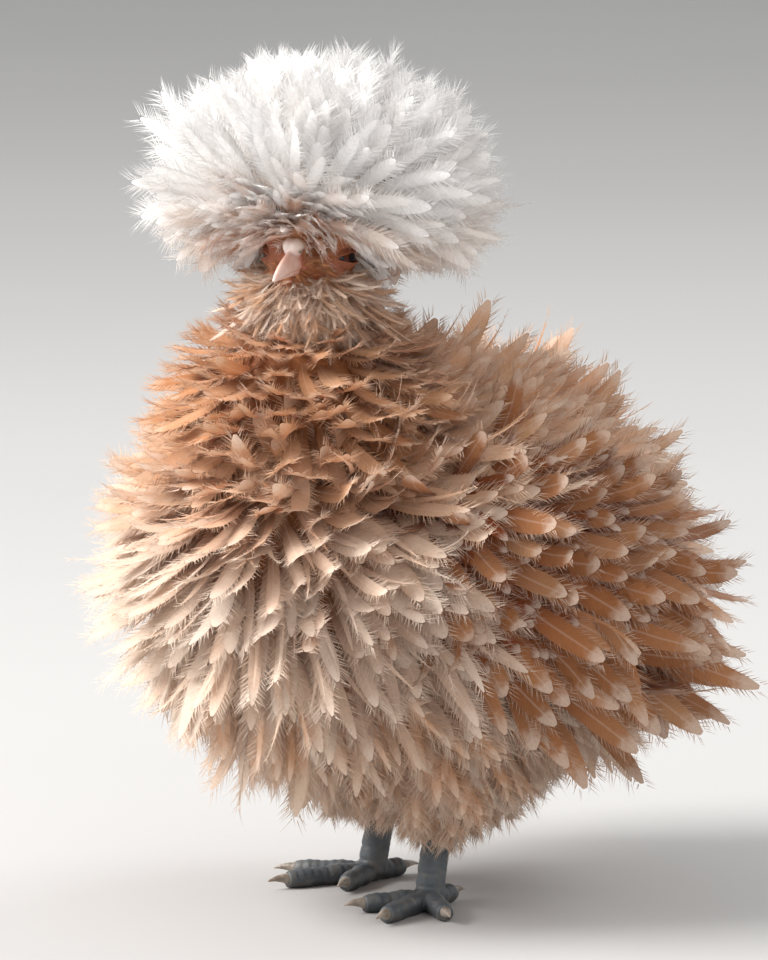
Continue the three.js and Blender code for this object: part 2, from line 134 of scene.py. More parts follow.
# Colours of the plumage, the skin, the horn, the legs and the eyes
WHITE = srgb(253, 252, 251)
CREAM = srgb(244, 228, 212)
PALE_BUFF = srgb(238, 208, 180)
BUFF = srgb(226, 178, 136)
ORANGE_BUFF = srgb(214, 150, 100)
BROWN = srgb(158, 98, 54)
NOSTRIL_SHADE_BROWN = srgb(92, 54, 30)
RUSSET = srgb(140, 64, 22)
# grey of the down under the crest, and painted shade of the crest's underside
GREY_DOWN_AND_SHADE = srgb(176, 158, 142)
BARB_SHADE = (0.42, 0.3, 0.24)
FACE_RED = srgb(170, 98, 74)
HORN = srgb(200, 132, 106)
HORN_WHITE = srgb(244, 234, 226)
SLATE = srgb(92, 100, 106)
SLATE_DARK = srgb(44, 44, 46)
SLATE_DUST = srgb(128, 122, 112)
CLAW_HORN = srgb(128, 116, 102)
IRIS = srgb(116, 52, 24)
IRIS_DARK = srgb(52, 22, 12)
PUPIL = srgb(6, 5, 5)
EYE_RIM = srgb(26, 12, 8)

# Bare surfaces: colour and share of the patches, their scale, detail and range, the scale, detail,
# strength and depth of the relief, the roughness and the light from under the surface
BARE_SKIN = (BROWN, 0.6, (160.0, 3.0, 0.35, 0.7), (900.0, 4.0, 0.6, 0.0006), 0.65, 0.08)
BARE_HORN = (HORN_WHITE, 0.35, (240.0, 3.0, 0.35, 0.7), (1600.0, 3.0, 0.25, 0.0003), 0.38, 0.12)
BARE_SCALES = (SLATE_DUST, 0.45, (300.0, 4.0, 0.4, 0.75), (1200.0, 3.0, 0.35, 0.0004), 0.5)


def unit(v):
    v = np.asarray(v, float)
    return v / np.linalg.norm(v, axis=-1, keepdims=True)


def turn_z(a):
    return np.array([[math.cos(a), -math.sin(a), 0], [math.sin(a), math.cos(a), 0], [0, 0, 1]])


def turn_x(a):
    return np.array([[1, 0, 0], [0, math.cos(a), -math.sin(a)], [0, math.sin(a), math.cos(a)]])


def mix(a, b, share):
    share = np.asarray(share)[..., None]
    return a * (1 - share) + b * share


def smooth(low, high, x):
    t = np.clip((x - low) / (high - low), 0, 1)
    return t * t * (3 - 2 * t)


class Egg:
    """An egg shape: half sizes long, high and wide, fuller at the head end by the share full.
    The coat flows from a pole that lies by the angle tilt from the head end towards the back."""

    def __init__(self, centre, axis, long, high, wide, full=0.0, tilt=0.0, back=UP):
        self.centre = np.array(centre, float)
        self.axis = unit(axis)
        self.side = unit(np.cross(back, self.axis))
        self.dorsal = unit(np.cross(self.axis, self.side))
        self.long, self.high, self.wide = long, high, wide
        self.full, self.tilt = full, math.radians(tilt)

    def spot(self, polar, around, margin=0.0):
        """The point at an angle from the pole and a turn around it."""
        rise, run = math.sin(self.tilt), math.cos(self.tilt)
        down, up = np.cos(polar), np.sin(polar) * np.cos(around)
        ahead, above = down * run - up * rise, down * rise + up * run
        aside = np.sin(polar) * np.sin(around)
        full = 1 + self.full * ahead
        return (
            self.centre
            + np.multiply.outer(aside * (self.wide * full + margin), self.side)
            + np.multiply.outer(ahead * (self.long + margin), self.axis)
            + np.multiply.outer(above * (self.high * full + margin), self.dorsal)
        )

    def frame_at(self, polar, around):
        """Points with the lie of the coat there and the way out."""
        step = 0.01
        at = self.spot(polar, around)
        lie = unit(self.spot(polar + step, around) - at)
        across = unit(self.spot(polar, around + step) - at)
        out = unit(np.cross(lie, across))
        flip = np.sign(np.sum(out * (at - self.centre), axis=-1, keepdims=True))
        return at, lie, out * flip

    def inside(self, at, grow=1.0):
        off = at - self.centre
        ahead = off @ self.axis / (self.long * grow)
        full = 1 + self.full * np.clip(ahead, -1, 1)
        aside = off @ self.side / (self.wide * full * grow)
        above = off @ self.dorsal / (self.high * full * grow)
        return ahead**2 + aside**2 + above**2 < 1


HEAD_TURN = turn_z(HEAD_YAW) @ turn_x(HEAD_DIP)
FORWARD, CROWN = HEAD_TURN @ AHEAD, HEAD_TURN @ UP
LEFTWARD = HEAD_TURN @ np.array([1.0, 0, 0])
FACING = np.array([math.sin(HEAD_YAW), -math.cos(HEAD_YAW), 0])


def on_head(left, ahead, above):
    """Points of the head: to its left, ahead of its middle and above it."""
    off = np.stack(np.broadcast_arrays(left, -np.asarray(ahead, float), above), axis=-1)
    return off @ HEAD_TURN.T + HEAD_AT


def eye_centre(s):
    return on_head(s * EYE_ASIDE, EYE_AHEAD, EYE_ABOVE)


# The forms that bear the feathers
TORSO = Egg((0, 2, 92), (0, -0.985, 0.17), 66, 46, 46, full=0.05, tilt=36)
NECK = Egg((4, -36, 141), (0.08, -0.2, 1), 22, 24, 24, full=-0.12, back=AHEAD)
THROAT = Egg(HEAD_AT + np.array([-3.0, 6.0, -14.0]), (0.2, -0.4, 1), 20, 12, 12, back=AHEAD)
TAIL = Egg((0, 67, 76), (0, -0.94, 0.34), 19, 14, 21)
WINGS = {
    s: Egg((s * 45, 10, 93), (-s * 0.1, -0.95, 0.3), 44, 27, 12, full=0.08, tilt=30)
    for s in SIDES
}
THIGHS = {
    s: Egg((s * 20, 8 - s * 6, 49), (0, 0.12, 1), 26, 23, 18, full=0.1, back=AHEAD)
    for s in SIDES
}
SKULL = Egg(HEAD_AT, FORWARD, SKULL_LONG, SKULL_HIGH, SKULL_WIDE, back=CROWN)
# the crest's feathers part at the brow, so its coat has its pole there
CREST = Egg((7.0, -32.5, 198.0), FACING, 28, 20.5, 29, tilt=-46)
# the chin and cheeks, from which the beard and the muffs hang
CHIN = Egg(on_head(0.0, 2.0, -8.5), CROWN + 0.55 * FORWARD, 11, 12, 12.5, back=FORWARD)
# where the ruff leaves room for the face and the beard
FACE = Egg(HEAD_AT, FACING, 19, 12, 13)
BEARD = Egg((13, -45, 164), (0.3, -0.75, 0.4), 7, 6, 9)

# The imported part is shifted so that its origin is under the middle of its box
eye_low, eye_high = (np.array(corner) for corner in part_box("eye_left"))
SHIFT = (eye_low + eye_high) / 2 / MM - eye_centre(1)


# Meshes
def in_scene(name, data):
    thing = bpy.data.objects.new(name, data)
    bpy.context.scene.collection.objects.link(thing)
    return thing


def dress(thing, material, *nodes):
    """Gives a piece its material, sets it on the one body and hides the imported nodes it stands for.
    """
    thing.data.materials.append(material)
    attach(thing, "root")
    if nodes:
        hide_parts(*nodes)


def smooth_shaded(mesh):
    mesh.polygons.foreach_set("use_smooth", np.ones(len(mesh.polygons), bool))


def set_points(mesh, points):
    """Points in millimetres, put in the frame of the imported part."""
    mesh.vertices.foreach_set("co", ((points + SHIFT) * MM).astype(np.float32).ravel())


def points_of(thing):
    spots = np.empty(len(thing.data.vertices) * 3, np.float32)
    thing.data.vertices.foreach_get("co", spots)
    return spots.reshape(-1, 3).astype(float) / MM - SHIFT


def set_vector(thing, name, values):
    made = thing.data.attributes.new(name, "FLOAT_VECTOR", "POINT")
    made.data.foreach_set("vector", values.astype(np.float32).ravel())


def mesh_object(name, points, faces, normal=None, uv=None, **vectors):
    """An object from points in millimetres and faces of one kind."""
    mesh = bpy.data.meshes.new(name)
    faces = np.asarray(faces, np.int32)
    count, corners = faces.shape
    mesh.vertices.add(len(points))
    set_points(mesh, points)
    mesh.loops.add(count * corners)
    mesh.loops.foreach_set("vertex_index", faces.ravel())
    mesh.polygons.add(count)
    mesh.polygons.foreach_set("loop_start", np.arange(0, count * corners, corners, dtype=np.int32))
    mesh.update(calc_edges=True)
    mesh.validate()
    smooth_shaded(mesh)
    if normal is not None:
        mesh.normals_split_custom_set_from_vertices(normal.astype(np.float32))
    thing = in_scene(name, mesh)
    for key, values in vectors.items():
        set_vector(thing, key, values)
    if uv is not None:
        layer = mesh.uv_layers.new(name="OFBake")
        loops = np.empty(len(mesh.loops), np.int32)
        mesh.loops.foreach_get("vertex_index", loops)
        layer.data.foreach_set("uv", uv[loops].astype(np.float32).ravel())
    return thing


def fused(name, shapes, voxel, smoothing):
    """One closed surface over overlapping closed shapes."""
    points, faces, start = [], [], 0
    for spots, sides in shapes:
        points.append(spots)
        faces += [tuple(int(i) + start for i in f) for f in sides]
        start += len(spots)
    mesh = bpy.data.meshes.new(name)
    mesh.from_pydata(((np.concatenate(points) + SHIFT) * MM).tolist(), [], faces)
    thing = in_scene(name, mesh)
    remesh = thing.modifiers.new("fuse", "REMESH")
    remesh.mode = "VOXEL"
    remesh.voxel_size = voxel * MM
    settle = thing.modifiers.new("settle", "SMOOTH")
    settle.iterations = smoothing
    settle.factor = 0.6
    graph = bpy.context.evaluated_depsgraph_get()
    made = bpy.data.meshes.new_from_object(thing.evaluated_get(graph))
    thing.modifiers.clear()
    thing.data = made
    made.name = name
    smooth_shaded(made)
    return thing


def grid_faces(rings, sides, closed=True):
    """Quads between rings of points, each ring closed on itself unless told otherwise."""
    across = np.arange(sides if closed else sides - 1)
    i, k = np.meshgrid(np.arange(rings - 1), across, indexing="ij")
    a = (i * sides + k).ravel()
    b = (i * sides + (k + 1) % sides).ravel()
    return np.stack([a, b, b + sides, a + sides], axis=1)


def capped_faces(rings, sides):
    """Faces between closed rings, and fans to the two end points that follow them."""
    faces = [tuple(f) for f in grid_faces(rings, sides)]
    first, last = rings * sides, rings * sides + 1
    end = (rings - 1) * sides
    for k in range(sides):
        after = (k + 1) % sides
        faces.append((first, after, k))
        faces.append((last, end + k, end + after))
    return faces


def ball(egg, margin, sides=48, tall=32):
    """A closed sphere of points on an egg, as rings with a point at each pole."""
    polar = np.linspace(0, math.pi, tall + 1)[1:-1]
    around = np.arange(sides) / sides * 2 * math.pi
    p, a = np.meshgrid(polar, around, indexing="ij")
    rings = egg.spot(p.ravel(), a.ravel(), margin)
    poles = egg.spot(np.array([0, math.pi]), np.zeros(2), margin)
    return np.concatenate([rings, poles]), capped_faces(tall - 1, sides)


# Materials
def rgba(colour):
    return (*map(float, colour), 1.0)


class Look:
    """A material, with short names for the shader nodes used here."""

    def __init__(self, name):
        self.material = bpy.data.materials.new(name)
        self.material.use_nodes = True
        self.tree = self.material.node_tree
        self.shader = self.tree.nodes["Principled BSDF"]

    def feed(self, value, socket):
        """Links another node's output to a socket, or sets the socket's own value."""
        if isinstance(value, bpy.types.NodeSocket):
            self.tree.links.new(value, socket)
        else:
            socket.default_value = value

    def add(self, kind, inputs=(), **settings):
        node = self.tree.nodes.new(kind)
        for key, value in settings.items():
            setattr(node, key, value)
        for slot, value in inputs:
            self.feed(value, node.inputs[slot])
        return node

    def math(self, operation, *values):
        return self.add("ShaderNodeMath", enumerate(values), operation=operation).outputs[0]

    def step(self, value, low, high):
        inputs = ((0, value), (1, low), (2, high))
        return self.add("ShaderNodeMapRange", inputs, interpolation_type="SMOOTHSTEP").outputs[0]

    def blend(self, share, a, b, blend_type="MIX"):
        node = self.add("ShaderNodeMix", data_type="RGBA", blend_type=blend_type)
        for slot, value in (("Factor", share), ("A", a), ("B", b)):
            self.feed(value, next(s for s in node.inputs if s.name == slot and s.enabled))
        return next(s for s in node.outputs if s.enabled)

    def noise(self, scale, detail=3.0, where=None):
        inputs = [("Scale", scale), ("Detail", detail)]
        if where is not None:
            inputs.append(("Vector", where))
        return self.add("ShaderNodeTexNoise", inputs).outputs["Fac"]

    def attribute(self, name):
        return self.add("ShaderNodeAttribute", attribute_name=name).outputs["Vector"]

    def parts(self, name):
        """The three numbers of an attribute."""
        return self.add("ShaderNodeSeparateXYZ", ((0, self.attribute(name)),)).outputs

    def place(self):
        return self.add("ShaderNodeTexCoord").outputs["Object"]

    def bump(self, height, strength, distance):
        inputs = (("Height", height), ("Strength", strength), ("Distance", distance))
        return self.add("ShaderNodeBump", inputs).outputs[0]

    def surface(self, values):
        """Feeds the material's own shader."""
        for slot, value in values.items():
            self.feed(value, self.shader.inputs[slot])
        return self.material


def feather_material(name, rim, root, rim_from=0.62, translucent=0.28, root_shade_to=0.55):
    """A vane with its own tone, a paler laced edge and tip, a darker root that is partly the feather's
    own base and partly painted shade of the crevices between feathers, and streaks of barbs.
    """
    n = Look(name)
    across, along, barb = n.parts("vane")
    edge = n.math("ABSOLUTE", across)
    tip = n.math("POWER", along, 2.2)
    ragged = n.math("MULTIPLY", n.math("SUBTRACT", n.noise(420.0, 2.0, n.place()), 0.5), 0.3)
    reach = n.math("ADD", n.math("MAXIMUM", edge, tip), ragged)
    lace = n.step(reach, rim_from, rim_from + 0.3)
    # darker towards the root, where the vane lies under the next feathers: the feather's own darker
    # base and painted shade of the crevices
    hidden = n.step(along, root_shade_to, 0.05)
    colour = n.blend(n.math("MULTIPLY", lace, LACE), n.attribute("tone"), rgba(rim))
    colour = n.blend(n.math("MULTIPLY", hidden, ROOT_SHADE_TINT), colour, rgba(root))
    own = n.math("MULTIPLY", n.parts("tone")[0], 90.0)
    streak_at = n.add("ShaderNodeCombineXYZ", ((0, barb), (1, own), (2, across))).outputs[0]
    streaks = n.noise(2.6, 3.0, streak_at)
    shade = n.math("MULTIPLY", n.step(streaks, 0.62, 0.34), STREAK_TINT)
    colour = n.blend(shade, colour, rgba(BARB_SHADE), "MULTIPLY")
    shaft = n.step(edge, 0.08, 0.03)
    colour = n.blend(n.math("MULTIPLY", shaft, SHAFT_TINT), colour, rgba(rim))
    n.surface({
        "Base Color": colour,
        "Normal": n.bump(streaks, 0.5, 0.0003),
        "Roughness": 0.72,
        "Specular IOR Level": 0.25,
        "Sheen Weight": 0.25,
        "Sheen Roughness": 0.5,
    })
    glow = n.add("ShaderNodeBsdfTranslucent", (("Color", colour),)).outputs[0]
    inputs = ((0, translucent), (1, n.shader.outputs[0]), (2, glow))
    both = n.add("ShaderNodeMixShader", inputs).outputs[0]
    n.tree.links.new(both, n.tree.nodes["Material Output"].inputs["Surface"])
    return n.material


def bare_material(name, patch, share, patches, relief, rough, glow=0.0):
    """A bare surface: its own tones, patches of another colour and fine folds or growth lines."""
    n = Look(name)
    place = n.place()
    scale, detail, low, high = patches
    cover = n.math("MULTIPLY", n.step(n.noise(scale, detail, place), low, high), share)
    scale, detail, strength, deep = relief
    return n.surface({
        "Base Color": n.blend(cover, n.attribute("tone"), rgba(patch)),
        "Normal": n.bump(n.noise(scale, detail, place), strength, deep),
        "Roughness": rough,
        "Subsurface Weight": glow,
        "Subsurface Scale": 0.002,
    })


def eye_material():
    """A wet eye: black pupil, red-brown iris with rays, dark rim, under a clear gloss."""
    n = Look("eye")
    radius = n.parts("gaze")[0]
    rays = n.noise(14.0, 3.0, n.attribute("gaze"))
    iris = n.blend(rays, rgba(IRIS), rgba(IRIS_DARK))
    colour = n.blend(n.step(radius, 0.36, 0.4), rgba(PUPIL), iris)
    return n.surface({
        "Base Color": n.blend(n.step(radius, 0.62, 0.74), colour, rgba(EYE_RIM)),
        "Roughness": 0.08,
        "IOR": 1.3,
        "Coat Weight": 0.25,
        "Coat Roughness": 0.02,
    })


def floor_material():
    n = Look("floor")
    colour = n.blend(n.noise(3.0, 2.0, n.place()), FLOOR_DIM, FLOOR_BRIGHT)
    return n.surface({"Base Color": colour, "Roughness": 0.8})


# Feathers
def spoon(t):
    """The half width of a round-ended vane along its length."""
    return np.sqrt(np.clip(np.sin(np.pi * np.clip(0.1 + 0.9 * t, 0, 1) ** 1.6), 0.03, 1))


def lance(t):
    """The half width of a pointed lock along its length."""
    return np.clip(np.sin(np.pi * np.clip(t, 0, 1) ** 0.8 * 0.9 + 0.25), 0.04, 1) * (1 - t**3 * 0.75)


class Shafts:
    """The shafts of many feathers. Each leaves its root at the angle rise above the lie of the coat
    and turns to the angle curl, swayed and bowed to one side and twisted a little."""

    FINE = 24

    def __init__(self, place, long, wide, rise, curl, sway=9.0, bow=14.0, twist=14.0, loose=12.0):
        self.place = place
        self.count = len(place["at"])
        self.long, self.wide = self.each(long), self.each(wide)
        self.rise = np.radians(self.each(rise) + rng.normal(0, 5, self.count))
        self.curl = np.radians(self.each(curl) + rng.normal(0, loose, self.count))
        turn = np.radians(rng.normal(0, sway, self.count))[:, None]
        side = np.cross(place["lie"], place["out"])
        self.lie = place["lie"] * np.cos(turn) + side * np.sin(turn)
        self.side = np.cross(self.lie, place["out"])
        self.bow = np.radians(rng.normal(0, bow, self.count))
        self.twist = np.radians(rng.normal(0, twist, self.count))
        self.cup = rng.normal(0.0, 0.06, self.count)
        spine = [place["at"] - self.heading(0.0)[0] * ROOT]
        for t in np.linspace(0, 1, self.FINE + 1)[1:]:
            spine.append(spine[-1] + self.heading(t)[0] * (self.long / self.FINE)[:, None])
        self.spine = np.stack(spine, axis=1)

    def each(self, value):
        return np.broadcast_to(np.asarray(value, float), self.count)

    def only(self, chosen):
        """These shafts without the ones that aren't chosen."""
        kept = copy.copy(self)
        for key, value in vars(self).items():
            if isinstance(value, np.ndarray):
                setattr(kept, key, value[chosen])
        kept.place = pick(self.place, chosen)
        kept.count = int(chosen.sum())
        return kept

    def heading(self, t):
        """The directions of the shaft, across the vane and off its face, at a share of the length."""
        angle = (self.rise + (self.curl - self.rise) * t**1.2)[:, None]
        out = self.place["out"]
        along = self.lie * np.cos(angle) + out * np.sin(angle)
        face = out * np.cos(angle) - self.lie * np.sin(angle)
        bow, twist = (self.bow * t)[:, None], (self.twist * t)[:, None]
        along = along * np.cos(bow) + self.side * np.sin(bow)
        across = np.cross(along, face)
        across = across * np.cos(twist) + face * np.sin(twist)
        return along, across, np.cross(across, along)

    def at(self, t):
        """The shaft's point at a share of the length."""
        spot = np.clip(self.each(t), 0, 1) * self.FINE
        low = np.minimum(spot.astype(int), self.FINE - 1)
        part = (spot - low)[:, None]
        rows = np.arange(self.count)
        return self.spine[rows, low] * (1 - part) + self.spine[rows, low + 1] * part


class Coat:
    """Collects feathers, then turns them all into one mesh."""

    def __init__(self, name):
        self.name = name
        self.parts = {"points": [], "normal": [], "vane": [], "tone": [], "uv": []}
        self.faces = []
        self.size = 0

    def take(self, shafts, spots, normals, marks, tone, faces):
        """Lists by point of a feather of arrays by feather, and one feather's triangles."""
        points, normal, vane = (np.stack(values, axis=1) for values in (spots, normals, marks))
        feathers, each = points.shape[:2]
        starts = self.size + np.arange(feathers)[:, None, None] * each
        turn, lean = shafts.place["around"] / (2 * math.pi) % 1, shafts.place["polar"] / math.pi
        root = np.stack([turn, lean], axis=-1) * 0.98 + 0.01
        uv = root[:, None] + PATCH * np.stack([vane[..., 0] / 2, vane[..., 1] - 0.5], axis=-1)
        tone = np.repeat(np.broadcast_to(tone, (feathers, 3))[:, None], each, axis=1)
        for key, values in zip(self.parts, (points, normal, vane, tone, uv)):
            self.parts[key].append(values.reshape(-1, values.shape[-1]))
        self.faces.append((faces[None] + starts).reshape(-1, 3))
        self.size += feathers * each

    def vanes(self, shafts, tone, core, outline):
        """A thin vane along each shaft, with an upper and a lower side that meet at the rims."""
        spots, normals, marks = [], [], []
        for t in STATIONS:
            across, face = shafts.heading(t * VANE_END)[1:]
            half = (shafts.wide / 2 * core * outline(t))[:, None]
            deep = RIM * (1 - 0.6 * t)
            slope = (2 * shafts.cup)[:, None]
            for over in (1, -1):
                for aside in (-1, 0, 1):
                    lift = half * slope if aside else deep * over
                    spots.append(shafts.at(t * VANE_END) + across * half * aside + face * lift)
                    tilted = face - across * aside * (slope - over * deep / half)
                    normals.append(unit(tilted * over + shafts.place["out"] * SOFTEN))
                    line = t * shafts.long - abs(aside) * half[:, 0] * 0.9
                    marks.append(np.stack([shafts.each(aside * core), shafts.each(t), line], axis=-1))
        strip = grid_faces(len(STATIONS), 6, closed=False)
        upper = strip[(strip[:, 0] % 6) < 2]
        lower = strip[(strip[:, 0] % 6) > 2][:, ::-1]
        halves = ([0, 1, 2], [0, 2, 3])
        faces = np.concatenate([side[:, half] for side in (upper, lower) for half in halves])
        self.take(shafts, spots, normals, marks, tone, faces)

    def barbs(self, shafts, tone, core, outline, count, long, fine):
        """Slim spikes that leave each vane's rim towards its tip."""
        spots, normals, marks = [], [], []
        for number in range(count):
            for aside in (-1, 1):
                t = ((number + rng.random(shafts.count)) / count) ** 0.7 * 0.89 + 0.06
                along, across, face = shafts.heading(t)
                half = (shafts.wide / 2 * core * outline(t))[:, None]
                lift = half * (2 * shafts.cup)[:, None] * 0.7
                foot = shafts.at(t) + across * half * aside * 0.7 + face * lift
                spread = (1.0 - 0.52 * t + rng.normal(0, 0.14, shafts.count))[:, None]
                way = along * np.cos(spread) + across * aside * np.sin(spread)
                way = unit(way + face * rng.normal(0.05, 0.16, shafts.count)[:, None])
                reach = long * rng.uniform(0.7, 1.25, shafts.count) * (0.72 + 0.35 * outline(t))
                tip = foot + way * (reach[:, None] + half * 0.3)
                edge = along * fine * aside
                fore, aft, ridge = foot + edge, foot - edge, foot + face * fine * 0.6
                spots += [aft, ridge, fore, tip, aft, fore, tip]
                bright = unit(face + shafts.place["out"] * SOFTEN)
                dim = unit(-face + shafts.place["out"] * SOFTEN)
                normals += [bright] * 4 + [dim] * 3
                line = t * shafts.long - half[:, 0] * 0.9
                base = np.stack([shafts.each(aside * core), t, line], axis=-1)
                end = np.stack([shafts.each(aside), t, line], axis=-1)
                marks += [base, base, base, end, base, base, end]
        spike = np.array([[0, 3, 1], [1, 3, 2], [4, 5, 6]])
        faces = np.concatenate([spike + 7 * number for number in range(2 * count)])
        self.take(shafts, spots, normals, marks, tone, faces)

    def grow(self, shafts, tone, barbs=36, long=3.8, core=0.5, outline=spoon, fine=0.22, gap=None):
        """Adds feathers with barbs outside the share core of their width, which is whole.
        With a gap, feathers that come nearer to the bill or the eyes are left out."""
        if gap is not None:
            free = open_face(shafts, gap)
            shafts, tone = shafts.only(free), tone[free]
        if shafts.count:
            self.vanes(shafts, tone, core, outline)
            self.barbs(shafts, tone, core, outline, barbs, long, fine)

    def build(self, material, *nodes):
        arrays = {key: np.concatenate(values) for key, values in self.parts.items()}
        points, faces = arrays.pop("points"), np.concatenate(self.faces)
        dress(mesh_object(self.name, points, faces, **arrays), material, *nodes)


def rows_on(egg, spacing, start=4, stop=176, keep=None):
    """Places all over an egg at an even spacing in millimetres, staggered and a little uneven."""
    polar, around = [], []
    at, row = math.radians(start), 0
    turns = np.linspace(0, 2 * math.pi, 65)
    while at < math.radians(stop):
        ring = egg.spot(np.full(65, at), turns)
        girth = np.linalg.norm(np.diff(ring, axis=0), axis=1).sum()
        stride = np.linalg.norm(egg.spot(np.full(65, at + 0.02), turns) - ring, axis=1).mean()
        count = max(3, round(girth / spacing))
        share = (np.arange(count) + 0.5 * (row % 2) + rng.uniform(-0.3, 0.3, count)) / count
        step = 0.02 * spacing / stride
        polar.append(at + step * rng.uniform(-0.3, 0.3, count))
        around.append(share * 2 * math.pi)
        at += step
        row += 1
    polar, around = np.concatenate(polar), np.concatenate(around)
    place = dict(zip(("at", "lie", "out"), egg.frame_at(polar, around)))
    place.update(polar=polar, around=around)
    return place if keep is None else pick(place, keep(place))


def gaps(points, spot):
    """How far points are from a spot."""
    return np.linalg.norm(points - spot, axis=1)


def pick(place, chosen):
    return {key: values[chosen] for key, values in place.items()}


def uneven(count, spread=0.1):
    return 1 + rng.normal(0, spread, count)


def varied(colour, count, spread=0.06):
    """A tone for each feather near a colour, lighter or darker and warmer or cooler."""
    light = rng.normal(0, spread, (count, 1))
    warm = rng.normal(0, spread * 0.3, (count, 1)) * np.array([[1, 0, -1]])
    return np.clip(np.broadcast_to(colour, (count, 3)) * (1 + light + warm), 0, 1)


def between(a, b, count, power=1.0):
    """A tone for each feather between two colours, nearer to the first for a higher power."""
    return mix(varied(a, count), varied(b, count), rng.random(count) ** power)


def open_face(shafts, gap):
    """Which feathers leave the bill and the eyes in the open, seen from ahead and the left front."""
    free = np.ones(shafts.count, bool)
    spots = [(on_head(*spot), radius) for spot, radius in BARE_SPOTS]
    spots += [(eye_centre(s) + LEFTWARD * s * BARE_EYE_ASIDE, BARE_EYE_RADIUS) for s in SIDES]
    for spot, radius in spots:
        for way in (TOWARD, FACING):
            for t in (0.2, 0.4, 0.6, 0.8, 0.95):
                off = shafts.at(t) - spot
                along = off @ way
                aside = gaps(off, np.outer(along, way))
                past = aside > radius + gap + 0.25 * shafts.wide
                free &= past | (along < 0) | (along > BARE_DEEP)
    return free


# Plumage
def crest_coat():
    """A globe of soft barbed feathers that part above the bill and flow back over the head."""
    coat = Coat("crest_feathers")
    place = rows_on(CREST, CREST_ROOTS, 6, 168, lambda p: p["at"][:, 2] > CREST_FOOT)
    at = place["at"]
    count = len(at)
    brow = smooth(55, 15, np.degrees(place["polar"]))
    top = smooth(0.2, 0.9, place["out"][:, 2])
    eye_gap = np.min([gaps(at, eye_centre(s)) for s in SIDES], axis=0)
    clear = smooth(7, 22, np.minimum(eye_gap, gaps(at, on_head(*KNOB_SPOT))))
    low_side = smooth(0.2, -0.5, place["out"][:, 2])
    droop = place["lie"] - 0.7 * low_side[:, None] * UP
    droop -= np.sum(droop * place["out"], axis=1, keepdims=True) * place["out"]
    place["lie"] = unit(droop)
    long = (CREST_LONG - 6.5 * top + 5 * low_side) * (0.3 + 0.7 * clear) * uneven(count, 0.13)
    wide = (CREST_WIDE - 5.0 * brow) * uneven(count, 0.12)
    rise = 34 - 8 * brow + 8 * low_side
    curl = 48 + 8 * top - 8 * low_side
    shafts = Shafts(place, long, wide, rise, curl, sway=11, bow=10, twist=24, loose=9)
    low = np.clip(0.8 * smooth(196, 180, at[:, 2]) + 0.2 * brow, 0, 0.9)
    tone = mix(varied(WHITE, count, 0.02), varied(PALE_BUFF, count), low)
    near = smooth(0.7, 0.15, clear)
    tone = mix(tone, varied(ORANGE_BUFF, count, 0.1), near * rng.random(count))
    coat.grow(shafts, tone, barbs=38, long=4.6, core=0.38, fine=0.2, gap=1.0)
    coat.build(feather_material("crest_feather", WHITE, CREAM, 0.5, 0.4, 0.3), "crest")


def brow_coat():
    """Short plumes that close the crest's parting above the bill."""
    coat = Coat("brow_feathers")
    place = rows_on(CREST, BROW_ROOTS, 2, 44)
    count = len(place["at"])
    away = smooth(0, 40, np.degrees(place["polar"]))
    long = (BROW_LONG + 7 * away) * uneven(count, 0.2)
    shafts = Shafts(place, long, BROW_WIDE + 3 * away, 42, 60, sway=16, twist=24)
    pale = (0.1 + 0.9 * away) ** 0.6
    tone = mix(varied(ORANGE_BUFF, count, 0.1), varied(WHITE, count, 0.03), pale)
    coat.grow(shafts, tone, barbs=14, long=2.2, core=0.4, fine=0.14, gap=-1.0)
    coat.build(feather_material("brow_feather", WHITE, ORANGE_BUFF, 0.5, 0.35, 0.4))


def beard_coat():
    """Hair-like tufts under the bill, which lengthen into muffs on the cheeks."""
    coat = Coat("beard_feathers")
    place = rows_on(CHIN, BEARD_ROOTS, 30, 150)
    count = len(place["at"])
    cheek = np.abs(place["out"] @ LEFTWARD) ** 1.5
    long = (BEARD_LONG + 9 * cheek) * uneven(count, 0.25)
    rise, curl = 20 + 12 * cheek, 46 + 16 * cheek
    shafts = Shafts(place, long, BEARD_WIDE + 3.4 * cheek, rise, curl, sway=18, bow=30, twist=40)
    tone = between(CREAM, BUFF, count, 1.3)
    brown = varied(BROWN, count, 0.1)
    tone = mix(tone, brown, 0.7 * rng.random(count) * np.maximum(cheek, 0.5))
    coat.grow(shafts, tone, barbs=16, long=2.4, core=0.22, fine=0.09, gap=0.3)
    coat.build(feather_material("beard_feather", CREAM, BROWN, 0.7), "beard")


def face_coat():
    """Short feathers that lie back from the bill over the brow and the cheeks."""
    coat = Coat("face_feathers")
    mouth = on_head(0, BILL_FROM + 2, BILL_LEVEL + 1)

    def keep(place):
        clear = gaps(place["at"], mouth) > BARE_MOUTH_RADIUS
        for s in SIDES:
            clear &= gaps(place["at"], eye_centre(s)) > EYE_RADIUS + 2.0
        return clear

    place = rows_on(SKULL, FACE_ROOTS, 12, 150, keep)
    count = len(place["at"])
    back = smooth(30, 100, np.degrees(place["polar"]))
    ahead = place["at"] @ FORWARD - HEAD_AT @ FORWARD - 6
    brow = smooth(0.25, 0.7, place["out"] @ CROWN) * smooth(8, 2, ahead)
    long = (FACE_LONG + 6.5 * back + 4 * brow) * uneven(count, 0.15)
    wide = FACE_WIDE + 2.2 * back + 0.8 * brow
    shafts = Shafts(place, long, wide, 10 + 20 * back + 22 * brow, 22 + 30 * back + 24 * brow, sway=14)
    tone = mix(varied(RUSSET, count, 0.14), varied(ORANGE_BUFF, count, 0.12), rng.random(count))
    pale = varied(PALE_BUFF, count)
    tone = mix(tone, pale, 0.8 * rng.random(count) * np.maximum(back, brow))
    coat.grow(shafts, tone, barbs=8, long=1.4, core=0.45, outline=lance, fine=0.11, gap=-0.4)
    coat.build(feather_material("face_feather", PALE_BUFF, BROWN, 0.7))


